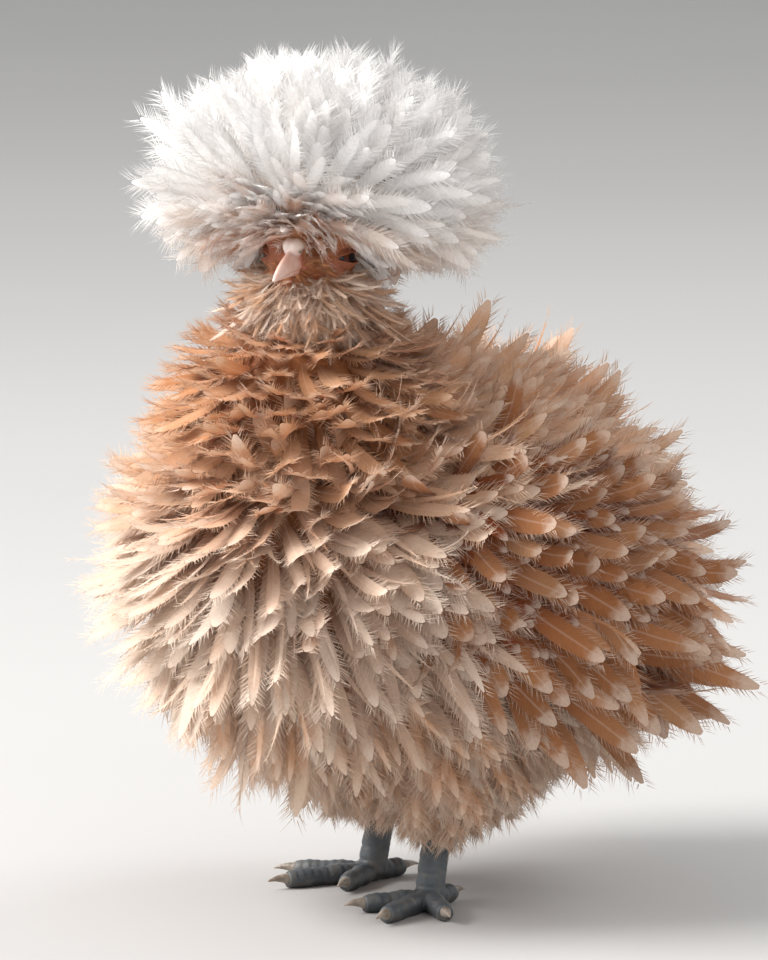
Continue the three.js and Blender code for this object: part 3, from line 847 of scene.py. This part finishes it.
def neck_coat():
    """The ruff: rounded vanes that stand off the neck and curl over, paler on the breast, with painted
    light on the front that faces the key light and painted shade on the back of the neck.
    """
    coat = Coat("neck_feathers")

    def keep(place):
        return ~FACE.inside(place["at"]) & ~BEARD.inside(place["at"], 1.1)

    place = rows_on(NECK, NECK_ROOTS, 22, 166, keep)
    count = len(place["at"])
    low = smooth(30, 100, np.degrees(place["polar"]))
    collar = low * smooth(0.7, 0.95, place["out"] @ unit(FACING + TOWARD))
    long = (NECK_LONG + 12 * low) * uneven(count)
    wide = (NECK_WIDE + 3.5 * low + 1.5 * collar) * uneven(count)
    curl = 68 + 12 * low + 70 * collar
    shafts = Shafts(place, long, wide, 34 + 16 * collar, curl, sway=12, loose=14)
    tone = between(ORANGE_BUFF, BUFF, count)
    # more brown on the back of the neck, turned away from the key light: painted shade
    shaded_back = smooth(0.3, -0.3, place["out"] @ unit(FACING - LEFTWARD))
    brown = varied(BROWN, count)
    tone = mix(tone, brown, (0.25 + 0.5 * shaded_back) * rng.random(count) * (1 - collar))
    tone = mix(tone, varied(BUFF, count), collar)
    # a paler bib low on the front of the neck, which faces the key light: the breast's own pale colour
    # and painted light
    lit_bib = smooth(-0.1, 0.5, place["out"] @ unit(FACING - 0.4 * LEFTWARD))
    lit_bib *= smooth(138, 126, place["at"][:, 2])
    tone = mix(tone, varied(PALE_BUFF, count), lit_bib * (0.55 + 0.45 * rng.random(count)))
    coat.grow(shafts, tone, gap=0.0)
    coat.build(feather_material("neck_feather", PALE_BUFF, BROWN, 0.62, root_shade_to=0.55), "neck")


def body_coats():
    """Breast, back and belly: frizzled vanes, softer and paler below."""

    def keep(place):
        hidden = NECK.inside(place["at"], 0.7)
        for egg in (*WINGS.values(), *THIGHS.values(), TAIL):
            hidden |= egg.inside(place["at"], 0.92)
        return ~hidden

    place = rows_on(TORSO, BODY_ROOTS, 2, 172, keep)
    y, up = place["at"][:, 1], place["out"][:, 2]
    place["under"] = np.clip(-up * 1.6, 0, 1) * smooth(36, 6, y)
    place["saddle"] = np.clip(up, 0, 1) * smooth(10, 40, y)
    place["rear"] = smooth(10, 45, y) * smooth(0.2, -0.4, up)
    down, front = up < -0.45, y < -6
    frizzled_coat("breast", pick(place, ~down & front), BROWN, "torso")
    frizzled_coat("back", pick(place, ~down & ~front), RUSSET)
    belly_coat(pick(place, down))


def frizzled_coat(name, place, root, *nodes):
    """Broad vanes that curl outward, with slim strands between them."""
    coat = Coat(f"{name}_feathers")
    count = len(place["at"])
    y, z = place["at"][:, 1], place["at"][:, 2]
    up, under, saddle, rear = place["out"][:, 2], place["under"], place["saddle"], place["rear"]
    long = (BODY_LONG - 4 * np.clip(up, 0, 1) + 9 * saddle + 12 * rear) * uneven(count, 0.15)
    breast = smooth(0, -36, y) * smooth(122, 104, z)
    collar = smooth(114, 128, z)
    collar *= smooth(0.75, 0.95, place["out"] @ unit(FACING + TOWARD + 0.8 * UP))
    narrow = breast * rng.random(count)
    wide = (BODY_WIDE - 5.5 * narrow) * uneven(count, 0.12)
    rise = 27 - 8 * under + 19 * saddle + 12 * collar
    curl = 62 - 22 * under + 10 * saddle + 60 * collar
    shafts = Shafts(place, long * (1 + 0.12 * narrow), wide, rise, curl, sway=10, bow=14, loose=15)
    tone = between(BUFF, PALE_BUFF, count)
    tone = mix(tone, varied(CREAM, count, 0.04), breast * (0.5 + 0.5 * rng.random(count)))
    orange = varied(ORANGE_BUFF, count)
    shoulder = 0.35 * smooth(112, 128, z) * rng.random(count)
    tone = mix(tone, orange, np.maximum(0.2 * collar, shoulder))
    # more brown on the bird's left flank, turned away from the key light: painted shade
    shaded_flank = smooth(-0.1, 0.8, place["out"][:, 0]) * smooth(112, 96, z)
    tone = mix(tone, varied(BROWN, count), 0.5 * shaded_flank * rng.random(count))
    coat.grow(shafts, tone)
    rows = np.flatnonzero(rng.random(count) < STRAND_SHARE)
    rise, curl = rise[rows] + 3, curl[rows] + 4
    strands = pick(place, rows)
    slim = Shafts(strands, long[rows] * 1.04, STRAND_WIDE, rise, curl, sway=14, bow=18, loose=14)
    tone = np.clip(tone[rows] * 1.08, 0, 1)
    coat.grow(slim, tone, barbs=18, long=2.4, core=0.4, outline=lance, fine=0.14)
    coat.build(feather_material(f"{name}_feather", CREAM, root, 0.6, root_shade_to=0.68), *nodes)


def belly_coat(place):
    """Loose down under the body, longer towards the tail."""
    coat = Coat("belly_down")
    count = len(place["at"])
    long = (BODY_LONG + 12 * place["rear"]) * uneven(count, 0.14)
    shafts = Shafts(place, long, BELLY_WIDE, 30, 56, sway=15, twist=30)
    coat.grow(shafts, between(BUFF, CREAM, count), barbs=32, long=4.8, core=0.4)
    coat.build(feather_material("down_feather", CREAM, BUFF, 0.6, 0.35))


def wing_coat(s):
    """Frizzled coverts over tiers of longer, straighter flight feathers behind and below."""
    name = f"wing_{SIDE_NAME[s]}"
    coat = Coat(f"{name}_feathers")

    def keep(place):
        return (s * np.sin(place["around"]) > 0.02) & ~TORSO.inside(place["at"], 0.97)

    under = rows_on(WINGS[s], UNDERWING_ROOTS, 6, 168, keep)
    count = len(under["at"])
    shafts = Shafts(under, UNDERWING_LONG * uneven(count, 0.15), UNDERWING_WIDE, 20, 44, sway=14)
    # the under-layer's dark russet and brown paint the shade seen in the gaps between the coverts
    tone = mix(varied(RUSSET, count, 0.12), varied(BROWN, count), rng.random(count))
    coat.grow(shafts, tone, barbs=12)
    place = rows_on(WINGS[s], WING_ROOTS, 6, 168, keep)
    low = (np.cos(place["around"]) < 0.1) & (place["polar"] > math.radians(70))
    for part, flight in ((pick(place, ~low), False), (pick(place, low), True)):
        count = len(part["at"])
        far = smooth(60, 130, np.degrees(part["polar"]))
        long = FLIGHT_LONG + 12 * far if flight else COVERT_LONG + 6 * far
        rise, curl = (24, 50 - 12 * far) if flight else (32, 82 - 24 * far)
        long = long * uneven(count, 0.12)
        shafts = Shafts(part, long, WING_WIDE * uneven(count), rise, curl, sway=11, loose=16)
        tone = between(ORANGE_BUFF, BUFF, count)
        deep = 0.15 * smooth(90, 60, part["at"][:, 2])
        tone = mix(tone, varied(BROWN, count), 0.25 + 0.6 * rng.random(count) + deep)
        coat.grow(shafts, tone, barbs=30, long=2.8, core=0.62)
    # the long russet root paints the deep shade in the crevices between the wing's feathers
    coat.build(feather_material(f"{name}_feather", CREAM, RUSSET, 0.6, root_shade_to=0.85), name)


def tail_coat():
    """A short tail of broad rounded vanes in tiers."""
    coat = Coat("tail_feathers")
    place = rows_on(TAIL, TAIL_ROOTS, 50, 172, lambda p: ~TORSO.inside(p["at"], 0.94))
    count = len(place["at"])
    long, wide = TAIL_LONG * uneven(count, 0.12), TAIL_WIDE * uneven(count)
    shafts = Shafts(place, long, wide, 14, 48, sway=11)
    coat.grow(shafts, between(BUFF, WHITE, count, 0.7), barbs=32, long=2.8, core=0.62)
    coat.build(feather_material("tail_feather", WHITE, RUSSET, 0.5, root_shade_to=0.7), "tail")


def thigh_coat(s):
    """Soft down that hangs over the hock."""
    name = f"thigh_{SIDE_NAME[s]}"
    coat = Coat(f"{name}_down")
    place = rows_on(THIGHS[s], THIGH_ROOTS, 40, 156, lambda p: ~TORSO.inside(p["at"], 0.92))
    count = len(place["at"])
    long = (THIGH_LONG - 8 * smooth(48, 30, place["at"][:, 2])) * uneven(count, 0.16)
    shafts = Shafts(place, long, THIGH_WIDE, 34, 48, sway=14, twist=30)
    coat.grow(shafts, between(BUFF, CREAM, count), barbs=26, long=4.4, core=0.4)
    coat.build(feather_material(f"{name}_down", CREAM, BUFF, 0.6, 0.35), name)


# Skin, eyes and bill
def skin():
    """One skin from face to thighs, under the feathers."""
    eggs = [TORSO, NECK, TAIL, CREST, CHIN, *WINGS.values(), *THIGHS.values(), THROAT]
    shapes = [ball(egg, -1.5) for egg in eggs] + [ball(SKULL, -0.3)]
    thing = fused("skin", shapes, 1.7, 4)
    at = points_of(thing)
    # under the coat the skin's tone is painted shade seen in the gaps between feathers: warm brown,
    # pale buff low down where the belly's gaps show lighter, and grey under the crest, partly its down
    tone = mix(BROWN, PALE_BUFF, smooth(70, 40, at[:, 2]))
    tone = mix(tone, GREY_DOWN_AND_SHADE, smooth(184, 192, at[:, 2]))
    near_face = smooth(15, 10, gaps(at, on_head(0, 9, 1)))
    tone = mix(tone, FACE_RED, near_face * smooth(6.5, 4.5, (at - HEAD_AT) @ CROWN))
    set_vector(thing, "tone", tone)
    dress(thing, bare_material("skin", *BARE_SKIN), "head")


def eyes():
    """Fine eyeballs in place of the faceted ones, each ringed by a wrinkled lid."""
    wet = eye_material()
    lid_skin = bare_material("skin", *BARE_SKIN)
    for s in SIDES:
        name = SIDE_NAME[s]
        centre = eye_centre(s)
        outward = unit(HEAD_TURN @ np.array([s, *EYE_AIM]))
        up = unit(np.cross(outward, np.cross(CROWN, outward)))
        forward = np.cross(up, outward) * s
        globe = Egg(centre, outward, EYE_RADIUS, EYE_RADIUS, EYE_RADIUS, back=up)
        points, faces = ball(globe, -0.05, 48, 40)
        triangles = [(f[0], f[k], f[k + 1]) for f in faces for k in range(1, len(f) - 1)]
        off = points - centre
        radius = np.arccos(np.clip(off @ outward / EYE_RADIUS, -1, 1))
        turn = np.arctan2(off @ up, off @ forward)
        gaze = np.stack([radius, turn * 1.5, np.zeros(len(points))], axis=-1)
        eye = mesh_object(f"eye_{name}_ball", points, triangles, gaze=gaze)
        dress(eye, wet, f"eye_{name}")
        lid(name, centre, outward, up, forward, lid_skin)


def lid(name, centre, outward, up, forward, material):
    """Rings of skin from the almond edge of the lids out over the socket, with a few fine folds."""
    around = np.arange(LID_SIDES) / LID_SIDES * 2 * math.pi
    corner = 1 + 0.16 * np.abs(np.cos(around)) ** 6
    steps = np.linspace(0, 1, LID_STEPS)
    rings = []
    for thick, order in ((0.0, steps), (0.9, steps[::-1])):
        for t in order:
            wide = (LID_OPEN_LONG + LID_LONG * t) * corner
            high = LID_OPEN_HIGH + LID_HIGH * t
            flat = np.outer(wide * np.cos(around), forward) + np.outer(high * np.sin(around), up)
            reach = np.linalg.norm(flat, axis=1)
            shell = EYE_RADIUS + 0.75 - 0.55 * t
            height = np.where(reach < shell, np.sqrt(np.clip(shell**2 - reach**2, 0, None)), 0)
            drop = 3.4 * smooth(0.25, 1.0, t)
            height = np.maximum(height, 2.4 - drop * 0.6)
            folds = 0.14 * np.sin(t * 22 + 0.5 * np.sin(around * 3)) * (1 - t)
            rings.append(centre + flat + np.outer(height + folds - 1.3 * t - thick, outward))
    # the last ring joins the first
    faces = grid_faces(len(rings) + 1, LID_SIDES) % (len(rings) * LID_SIDES)
    points = np.concatenate(rings)
    thing = mesh_object(f"lid_{name}", points, faces, tone=varied(FACE_RED * 0.8, len(points), 0.03))
    dress(thing, material)


def bill(upper):
    """Half of the bill as a fine loft, with the arched nostrils on the upper half."""
    rings, sides = 34, 40
    t = np.linspace(0, 0.97, rings)[:, None]
    turn = (np.arange(sides) / sides * 2 * math.pi)[None, :]
    wide = BILL_WIDE * (1 - t) ** 0.5 * (1 - 0.4 * smooth(0.0, 0.3, t))
    if upper:
        high, along, rim = BILL_HIGH * (1 - t) ** 0.55, t, MOUTH_GAP
        level = np.maximum(np.sin(turn), -0.12)
        ridge = 1 + 0.1 * np.exp(-((turn - math.pi / 2) / 0.3) ** 2)
    else:
        high, along, rim = BILL_LOWER_HIGH * (1 - t) ** 0.7, BILL_LOWER * t, -MOUTH_GAP
        level = np.minimum(np.sin(turn), 0.12)
        ridge = 1.0
    left = wide * np.cos(turn) * np.ones_like(t)
    above = BILL_LEVEL + rim - BILL_HOOK * along**2 + high * level * ridge
    ahead = (BILL_FROM + BILL_LONG * along) * np.ones_like(turn)
    faces = [tuple(f) for f in grid_faces(rings, sides)]
    faces.append(tuple(range(sides))[::-1])
    faces.append(tuple((rings - 1) * sides + k for k in range(sides)))
    shapes = [(on_head(left, ahead, above).reshape(-1, 3), faces)]
    if upper:
        for s in SIDES:
            knob_at = on_head(s * KNOB_ASIDE, KNOB_AHEAD, BILL_LEVEL + KNOB_ABOVE)
            shapes.append(ball(Egg(knob_at, FORWARD, *KNOB_SIZES, back=CROWN), 0, 24, 16))
    node = "bill_upper" if upper else "bill_lower"
    thing = fused(f"{node}_horn", shapes, 0.28, 6)
    at = points_of(thing)
    off = (at - HEAD_AT) @ HEAD_TURN
    slit = nostrils(off)
    inward = unit(on_head(0, KNOB_AHEAD, BILL_LEVEL + 1) - at)
    set_points(thing.data, at + inward * slit[:, None] * 0.9)
    knob_off = (off - [0, -KNOB_AHEAD, BILL_LEVEL + KNOB_ABOVE + 0.8]) * [0.8, 0.8, 1]
    knobs = smooth(4.2, 2.6, np.linalg.norm(knob_off, axis=1))
    tone = mix(HORN, HORN_WHITE, 0.5 * smooth(BILL_FROM, BILL_FROM + BILL_LONG, -off[:, 1]))
    tone = mix(tone, HORN_WHITE, knobs * 0.8)
    # the nostril slits are painted deep brown: painted shade inside the openings
    set_vector(thing, "tone", mix(tone, NOSTRIL_SHADE_BROWN, slit * 0.9))
    dress(thing, bare_material("bill_horn", *BARE_HORN), node)


def nostrils(off):
    """How far points of the head's own frame lie in the slits of the nostrils, from 0 to 1."""
    slit = np.zeros(len(off))
    for s in SIDES:
        spot = np.array([s * 2.6, -(KNOB_AHEAD + 0.9), BILL_LEVEL + KNOB_ABOVE - 0.9])
        near = ((off - spot) / np.array([2.2, 1.5, 0.55])) ** 2
        slit = np.maximum(slit, np.exp(-near.sum(axis=1) * 1.6))
    return slit


# Legs
def tube(stations, sides=32, scutes=0, top=None):
    """Points and faces of a tube through (point, radius), closed at both ends, with ridged scutes."""
    spots = np.array([s[0] for s in stations])
    radii = np.array([s[1] for s in stations])
    fine = 10 * (len(spots) - 1) + 1
    t = np.linspace(0, len(spots) - 1, fine)
    low = np.minimum(t.astype(int), len(spots) - 2)
    part = (t - low)[:, None]
    eased = (part * part * (3 - 2 * part))[:, 0]
    line = spots[low] * (1 - part) + spots[low + 1] * part
    radius = radii[low] * (1 - eased) + radii[low + 1] * eased
    along = unit(np.gradient(line, axis=0))
    side = unit(np.cross(along, np.broadcast_to(top, along.shape)))
    crown = unit(np.cross(side, along))
    turn = np.arange(sides) / sides * 2 * math.pi
    share = np.linspace(0, 1, fine)
    front = smooth(-0.1, 0.5, np.sin(turn))
    saw = share * scutes % 1
    step = 0.26 * (0.5 - saw)
    groove = -0.3 * np.exp(-(np.minimum(saw, 1 - saw) / 0.1) ** 2) * bool(scutes)
    small = 0.12 * np.sin(share[:, None] * scutes * 14) * np.sin(turn * 7)[None] * (1 - front)[None]
    reach = radius[:, None] + np.outer(step + groove, front) + small
    rings = line[:, None] + side[:, None] * (reach * np.cos(turn))[..., None]
    rings = rings + crown[:, None] * (reach * np.sin(turn))[..., None]
    points = np.concatenate([rings.reshape(-1, 3), line[:1], line[-1:]])
    return points, capped_faces(fine, sides)


def toe_way(s, toe):
    a = math.radians(FEET[s][1] + s * TOES[toe][0])
    return np.array([math.sin(a), -math.cos(a), 0.0])


def legs():
    """Slate shanks and toes with broad scutes in front and fine scales behind, and horn claws."""
    scales = bare_material("shank_scale", *BARE_SCALES)
    horn = bare_material("bill_horn", *BARE_HORN)
    for s in SIDES:
        name = f"leg_{SIDE_NAME[s]}"
        foot = FEET[s][0]
        hock = foot + np.array([-s, HOCK_BACK, HOCK])
        stations = []
        for t in np.linspace(0.06, 1, 7):
            spot = foot * (1 - t) + hock * t + np.array([0, -2 * math.sin(math.pi * t), 0])
            stations.append((spot, SHANK * (1 + 0.22 * (t - 0.45) ** 2)))
        shapes = [tube(stations, 36, SHANK_SCUTES, AHEAD)]
        start = foot + np.array([0, 0, TOE_HEIGHT + 0.2])
        for toe, (_, long) in TOES.items():
            way = toe_way(s, toe) * long
            line = [(start + way * k / 5, TOE * swell) for k, swell in enumerate(TOE_SWELLS)]
            shapes.append(tube(line, 24, round(long / SCUTE_LONG), UP))
        thing = fused(f"{name}_scaled", shapes, 0.42, 1)
        at = points_of(thing)
        at[:, 2] = np.maximum(at[:, 2], 0.02)
        set_points(thing.data, at)
        # darker below 5 mm, on the undersides of the toes: painted shade where the feet meet the floor
        set_vector(thing, "tone", mix(SLATE, SLATE_DARK, 0.25 + 0.6 * smooth(5, 0.5, at[:, 2])))
        dress(thing, scales, name)
        for toe in TOES:
            claw(s, toe, horn)


def claw(s, toe, material):
    """A curved horn claw, tapered to its point."""
    name = f"claw_{SIDE_NAME[s]}_{toe}"
    way = toe_way(s, toe)
    start = FEET[s][0] + way * (TOES[toe][1] - 1) + np.array([0, 0, TOE_HEIGHT + 0.3])
    stations = []
    for t in np.linspace(0, 1, 7):
        lift = np.array([0, 0, 0.9 * math.sin(2.2 * t) - 0.9 * t])
        radius = max(0.12, CLAW_RADIUS * (1 - 0.93 * t))
        stations.append((start + way * t * CLAW_LONG + lift, radius))
    thing = fused(f"{name}_horn", [tube(stations, 20, 0, UP)], 0.2, 2)
    set_vector(thing, "tone", np.tile(CLAW_HORN, (len(thing.data.vertices), 1)))
    dress(thing, material, name)


# Camera, lamps and floor
def aim(thing, at, target):
    way = Vector(target) - Vector(at)
    thing.location = at
    thing.rotation_euler = way.to_track_quat("-Z", "Y").to_euler()


def camera():
    """A distant camera, set so that the feet show at their place in the picture."""
    right = np.array([math.cos(CAMERA_AZIMUTH), math.sin(CAMERA_AZIMUTH), 0])
    upward = np.cross(TOWARD, right)
    offset_u = (IMAGE_WIDE / 2 - FEET_PIXEL[0]) / PIXELS_PER_MM
    offset_v = (FEET_PIXEL[1] - IMAGE_HIGH / 2) / PIXELS_PER_MM
    target = (right * offset_u + upward * offset_v + SHIFT) * MM
    data = bpy.data.cameras.new("camera")
    data.sensor_fit = "HORIZONTAL"
    data.sensor_width = SENSOR_WIDE
    data.lens = SENSOR_WIDE * CAMERA_AWAY / (IMAGE_WIDE / PIXELS_PER_MM)
    data.clip_end = 20
    thing = in_scene("camera", data)
    aim(thing, target + TOWARD * CAMERA_AWAY * MM, target)
    bpy.context.scene.camera = thing


def lamp(name, at, power, size, colour):
    data = bpy.data.lights.new(name, "AREA")
    data.energy = power
    data.size = size
    data.color = colour
    aim(in_scene(name, data), at, LAMP_TARGET)


def studio():
    """A plain floor, a large soft key from the upper left front, a fill and a rim light."""
    bpy.context.scene.view_settings.view_transform = "Standard"
    world = bpy.data.worlds.new("studio")
    bpy.context.scene.world = world
    world.use_nodes = True
    sky = world.node_tree.nodes["Background"]
    sky.inputs[0].default_value = SKY
    sky.inputs[1].default_value = SKY_STRENGTH
    for name, settings in LAMPS.items():
        lamp(name, *settings)
    mesh = bpy.data.meshes.new("floor")
    corners = [(x * FLOOR_REACH, y * FLOOR_REACH, 0) for x, y in ((-1, -1), (1, -1), (1, 1), (-1, 1))]
    mesh.from_pydata(corners, [], [(0, 1, 2, 3)])
    mesh.materials.append(floor_material())
    in_scene("floor", mesh)


camera()
studio()
skin()
eyes()
bill(True)
bill(False)
legs()
face_coat()
beard_coat()
crest_coat()
brow_coat()
neck_coat()
body_coats()
for wing_side in SIDES:
    wing_coat(wing_side)
    thigh_coat(wing_side)
tail_coat()

bpy.context.view_layer.update()
